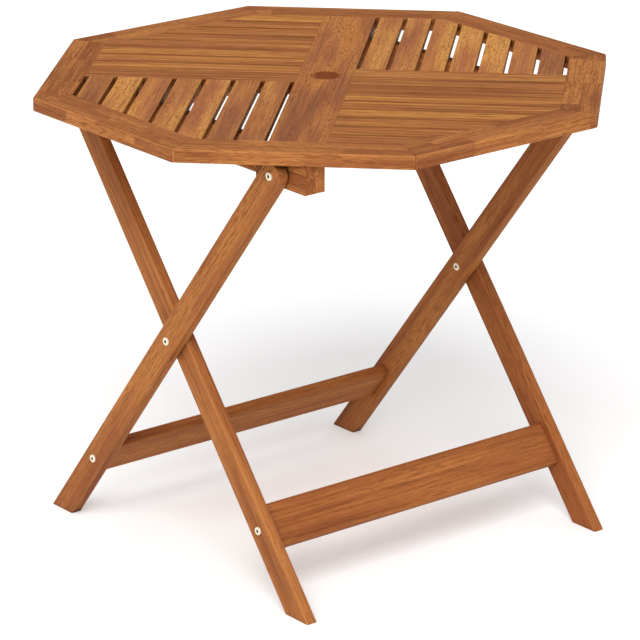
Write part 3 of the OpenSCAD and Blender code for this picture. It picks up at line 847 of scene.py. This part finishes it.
# ---------------------------------------------------------------------------------------------
# The legs. Four boards of the same hardwood, 45 by 20 mm, with well-rounded long edges, a
# half-round top and a sole sawn level. Two turn on the top, two carry the catch bar.
# ---------------------------------------------------------------------------------------------
leg_width = 0.045
leg_thick = 0.020
long_arris = 0.0025
sole_arris = 0.0009
foot_reach = 0.310
pivot_y = -0.273
pivot_z = 0.729
catch_z = 0.708
cross_z = pivot_z * foot_reach / (foot_reach - pivot_y)
slope = math.atan2(cross_z, foot_reach)
foot_length = cross_z / math.sin(slope)
pivot_length = (pivot_z - cross_z) / math.sin(slope)
bar_length = (catch_z - cross_z) / math.sin(slope)
pivot_left_x = -0.3290
pivot_right_x = 0.2885
catch_left_x = -0.3085
catch_right_x = 0.3090


def on_leg(lean, across, along):
    """A point of a leg's side view as (y, z). lean is -1 where the top leans to the front."""
    return (
        lean * along * math.cos(slope) + across * math.sin(slope),
        cross_z + along * math.sin(slope) - lean * across * math.cos(slope),
    )


def sawn(name, outline, x, thick, arrises, material):
    """A board cut to an outline of (y, z), from x to x + thick. arrises gives each point of the
    outline the rounding of the edge after it and of the edge through the thickness at it."""
    count = len(outline)
    points = [(x, y, z) for y, z in outline] + [(x + thick, y, z) for y, z in outline]
    faces = [tuple(range(count)), tuple(range(2 * count - 1, count - 1, -1))]
    faces += [(n, n + count, (n + 1) % count + count, (n + 1) % count) for n in range(count)]
    drawn = bpy.data.meshes.new(name)
    drawn.from_pydata(points, [], faces)
    drawn.update()
    widest = max(max(pair) for pair in arrises)
    weights = drawn.attributes.new("bevel_weight_edge", "FLOAT", "EDGE")
    for edge in drawn.edges:
        first, second = sorted(edge.vertices)
        if second == first + count:
            weights.data[edge.index].value = arrises[first][1] / widest
        else:
            start = first if second - first == 1 else second
            weights.data[edge.index].value = arrises[start % count][0] / widest
    drawn.attributes.new("board", "FLOAT", "POINT")
    for face in drawn.polygons:
        face.use_smooth = True
    drawn.materials.append(material)
    piece = in_scene(name, drawn)
    rounding = piece.modifiers.new("rounded arrises", "BEVEL")
    rounding.limit_method = "WEIGHT"
    rounding.width = widest
    rounding.segments = 4
    rounding.harden_normals = True
    rounding.use_clamp_overlap = True
    return plain(piece)


def leg_outline(lean, top_length):
    """The side view of a leg and the rounding of its edges."""
    half_width = leg_width / 2
    steps = 18
    points = []
    for across in (-half_width, half_width):
        y, z = on_leg(lean, across, 0.0)
        points.append((y - lean * z / math.tan(slope), 0.0))
    for step in range(steps + 1):
        a = math.pi * step / steps
        points.append(on_leg(lean, half_width * math.cos(a), top_length + half_width * math.sin(a)))
    arrises = [(sole_arris, sole_arris), (long_arris, sole_arris)] + [(long_arris, 0.0)] * (steps + 1)
    return points, arrises


leg_wood = dict(
    board_contrast=0.3,
    zones=1.2,
    streaks=0.6,
    threads=0.45,
    pore_depth=0.8,
    grain_length=1.5,
    # A weaker painted highlight on the legs' arrises.
    rubbed_arris=0.2,
    **tones((198, 129, 68), (171, 104, 57), (134, 74, 42)),
)
lighter_wood = dict(leg_wood, **tones((206, 137, 72), (179, 112, 62), (143, 82, 47)))
# The right catch leg gets darker tones all over.
darker_wood = dict(leg_wood, **tones((176, 108, 58), (154, 89, 48), (122, 63, 34)))
leg_turns = {
    "pivot": (math.radians(180.0) + slope, 0.0, math.radians(-90.0)),
    "catch": (-slope, 0.0, math.radians(-90.0)),
}
catch_top = bar_length + leg_width / 3
legs = (
    ("pivot_leg_left", pivot_left_x, -1, pivot_length, leg_wood),
    ("pivot_leg_right", pivot_right_x, -1, pivot_length, leg_wood),
    ("catch_leg_left", catch_left_x, 1, catch_top, lighter_wood),
    ("catch_leg_right", catch_right_x, 1, catch_top, darker_wood),
)
for number, (name, x, lean, top_length, finish) in enumerate(legs):
    kind = name.split("_")[0]
    middle = (-x - leg_thick / 2, lean * cross_z * math.cos(slope))
    wood = hardwood(f"{name}_hardwood", leg_turns[kind], middle, first_board=110.0 + number, **finish)
    outline, arrises = leg_outline(lean, top_length)
    leg = sawn(f"{name}_finished", outline, x, leg_thick, arrises, wood)
    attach(leg, f"{kind}_frame")
    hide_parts(name)


# ---------------------------------------------------------------------------------------------
# Stretchers and catch bar. A wide rounded stretcher holds each pair of legs apart near the
# floor, glued and screwed end on, and a narrower bar between the catch legs locks the top.
# ---------------------------------------------------------------------------------------------
stretcher_from_foot = 0.155
stretcher_drop = foot_length - stretcher_from_foot
stretcher_width = 0.075
stretcher_arris = 0.0045
catch_bar_width = 0.040
catch_bar_arris = 0.0035
bar_thick = 0.020
bar_span = 0.5975
bar_end_arris = 0.0003
stretcher_wood = dict(leg_wood, streaks=0.8, **tones((190, 122, 66), (164, 97, 53), (128, 70, 39)))
pivot_inner_x = pivot_left_x + leg_thick
catch_inner_x = catch_left_x + leg_thick
bars = (
    ("pivot_stretcher", pivot_inner_x, -1, -stretcher_drop, stretcher_width, stretcher_arris, leg_wood),
    ("catch_stretcher", catch_inner_x, 1, -stretcher_drop, stretcher_width, stretcher_arris, stretcher_wood),
    ("catch_bar", catch_inner_x, 1, bar_length, catch_bar_width, catch_bar_arris, leg_wood),
)
for number, (name, x, lean, along, width, arris, finish) in enumerate(bars):
    kind = name.split("_")[0]
    turn = (slope - math.radians(90.0)) * lean
    y, z = on_leg(lean, 0.0, along)
    middle = (y * math.cos(turn) - z * math.sin(turn), y * math.sin(turn) + z * math.cos(turn))
    wood = hardwood(f"{name}_hardwood", (turn, 0.0, 0.0), middle, first_board=120.0 + number, **finish)
    corners = ((-0.5, -0.5), (0.5, -0.5), (0.5, 0.5), (-0.5, 0.5))
    outline = [on_leg(lean, a * bar_thick, along + b * width) for a, b in corners]
    bar = sawn(f"{name}_finished", outline, x, bar_span, [(bar_end_arris, arris)] * 4, wood)
    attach(bar, f"{kind}_frame")
    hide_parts(name)


# ---------------------------------------------------------------------------------------------
# Fasteners. Furniture bolts and sleeve nuts of zinc-plated steel with flat round heads and
# hexagon sockets join the legs, and plain wood screws hold the battens.
# ---------------------------------------------------------------------------------------------
zinc = bpy.data.materials.new("zinc_plated_steel")
plating = bare(zinc)
here = add(plating, "ShaderNodeTexCoord").outputs["Object"]
cloud = add(plating, "ShaderNodeTexNoise", {"Vector": here, "Scale": 420.0, "Detail": 3.0}).outputs[0]
tint = blended(plating, cloud, linear(255, 248, 226), linear(238, 228, 202))
# Painted shade: the bottom of each hexagon socket is coloured deep brown.
socket_shade_mask = add(plating, "ShaderNodeAttribute", attribute_name="sunk").outputs["Fac"]
tint = blended(plating, socket_shade_mask, tint, linear(58, 44, 28))
grit = add(plating, "ShaderNodeBump", {"Height": cloud, "Strength": 0.15, "Distance": 0.0002})
plugs = {
    "Base Color": tint,
    "Roughness": maths(plating, "MULTIPLY_ADD", cloud, 0.20, 0.26),
    "Metallic": 0.35,
    "Normal": grit.outputs[0],
}
metal = add(plating, "ShaderNodeBsdfPrincipled", plugs).outputs[0]
add(plating, "ShaderNodeOutputMaterial", {"Surface": metal})

head_radius = 0.0068
head_thick = 0.0025
head_arris = 0.0009
shank_radius = 0.004
shank_length = 0.012
socket_half = 0.0024
socket_depth = 0.0021
socket_bevel = 0.00025
socket_flare = 1.10


def bolt_template():
    """One bolt head on its shank, the seat at z = 0 and the head above, by turning a profile."""
    steps = 48
    angles = [math.tau * n / steps for n in range(steps)]
    side = math.radians(60.0)
    hexagon = [socket_half / math.cos((a + side / 2) % side - side / 2) for a in angles]

    def circle(radius):
        return [radius] * steps

    rings = [
        (circle(shank_radius), -shank_length), (circle(shank_radius), 0.0), (circle(head_radius), 0.0),
    ]
    for a in (math.radians(22.5 * n) for n in range(5)):
        radius = head_radius - head_arris * (1.0 - math.cos(a))
        rings.append((circle(radius), head_thick - head_arris * (1.0 - math.sin(a))))
    rings += [
        ([h * socket_flare for h in hexagon], head_thick),
        (hexagon, head_thick - socket_bevel),
        (hexagon, head_thick - socket_depth),
    ]
    points = []
    for radii, z in rings:
        points += [(r * math.cos(a), r * math.sin(a), z) for r, a in zip(radii, angles)]
    last = (len(rings) - 1) * steps
    faces = []
    for base in range(0, last, steps):
        for n in range(steps):
            m = (n + 1) % steps
            faces.append((base + n, base + m, base + steps + m, base + steps + n))
    faces += [tuple(range(steps - 1, -1, -1)), tuple(range(last, last + steps))]
    drawn = bpy.data.meshes.new("bolt_template")
    drawn.from_pydata(points, [], faces)
    drawn.update()
    # The socket's bottom ring carries the painted shade.
    sunk = drawn.attributes.new("sunk", "FLOAT", "POINT")
    for number, item in enumerate(sunk.data):
        item.value = float(number >= last - steps)
    return in_scene("bolt_template", drawn)


def bolts_rule():
    """A bolt at every point, its head turned the way the point's facing says."""
    tree = bpy.data.node_groups.new("bolts_at_points", "GeometryNodeTree")
    new_socket(tree, "Geometry", "Geometry")
    new_socket(tree, "Bolt", "Object")
    new_socket(tree, "Plating", "Material")
    new_socket(tree, "Geometry", "Geometry", way="OUTPUT")
    given = add(tree, "NodeGroupInput").outputs
    spots = add(tree, "GeometryNodeMeshToPoints", {"Mesh": given["Geometry"]}, mode="VERTICES").outputs[0]
    bolt = add(tree, "GeometryNodeObjectInfo", {"Object": given["Bolt"]}).outputs["Geometry"]
    plugs = {"Name": "facing"}
    facing = add(tree, "GeometryNodeInputNamedAttribute", plugs, data_type="FLOAT_VECTOR").outputs[0]
    turn = add(tree, "FunctionNodeAlignRotationToVector", {"Vector": facing}, axis="Z").outputs[0]
    plugs = {"Points": spots, "Instance": bolt, "Rotation": turn}
    placed = add(tree, "GeometryNodeInstanceOnPoints", plugs).outputs[0]
    whole = add(tree, "GeometryNodeRealizeInstances", {"Geometry": placed}).outputs[0]
    whole = smooth_and_numbered(tree, whole, 0.0)
    plugs = {"Geometry": whole, "Material": given["Plating"]}
    whole = add(tree, "GeometryNodeSetMaterial", plugs).outputs[0]
    add(tree, "NodeGroupOutput", {"Geometry": whole})
    return tree


template = bolt_template()
bolts_tree = bolts_rule()
crossing = (0.0, cross_z)
pivot = (pivot_y, pivot_z)
pivot_low = on_leg(-1, 0.0, -stretcher_drop)
catch_low = on_leg(1, 0.0, -stretcher_drop)
catch_high = on_leg(1, 0.0, bar_length)
pivot_outer_x = pivot_right_x + leg_thick
catch_outer_x = catch_right_x + leg_thick
nut_left_x = -0.2700
nut_right_x = 0.2495

# Each fastener has its seat's x, its place in the side view, and -1 where its head is on the left.
fasteners = {
    "pivot_frame_screws": (
        "pivot_frame", ((pivot_left_x, pivot_low, -1.0), (pivot_outer_x, pivot_low, 1.0)),
    ),
    "catch_frame_screws": (
        "catch_frame",
        (
            (catch_left_x, catch_low, -1.0), (catch_outer_x, catch_low, 1.0),
            (catch_left_x, catch_high, -1.0), (catch_outer_x, catch_high, 1.0),
        ),
    ),
    "top_pivot_bolts": ("pivot_frame", ((pivot_left_x, pivot, -1.0), (pivot_outer_x, pivot, 1.0))),
    "top_pivot_nuts": ("pivot_frame", ((nut_left_x, pivot, 1.0), (nut_right_x, pivot, -1.0))),
    "cross_bolts": ("pivot_frame", ((pivot_left_x, crossing, -1.0), (pivot_right_x, crossing, -1.0))),
    "cross_nuts": ("pivot_frame", ((catch_inner_x, crossing, 1.0), (catch_outer_x, crossing, 1.0))),
}
for name, (body, spots) in fasteners.items():
    drawn = bpy.data.meshes.new(f"{name}_finished")
    drawn.from_pydata([(x, y, z) for x, (y, z), side in spots], [], [])
    facing = drawn.attributes.new("facing", "FLOAT_VECTOR", "POINT")
    for item, (x, place, side) in zip(facing.data, spots):
        item.vector = (side, 0.0, 0.0)
    piece = in_scene(f"{name}_finished", drawn)
    follow(piece, bolts_tree, bolt=template, plating=zinc)
    plain(piece)
    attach(piece, body)
    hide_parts(name)
bpy.data.objects.remove(template)
dress("batten_screws", zinc)
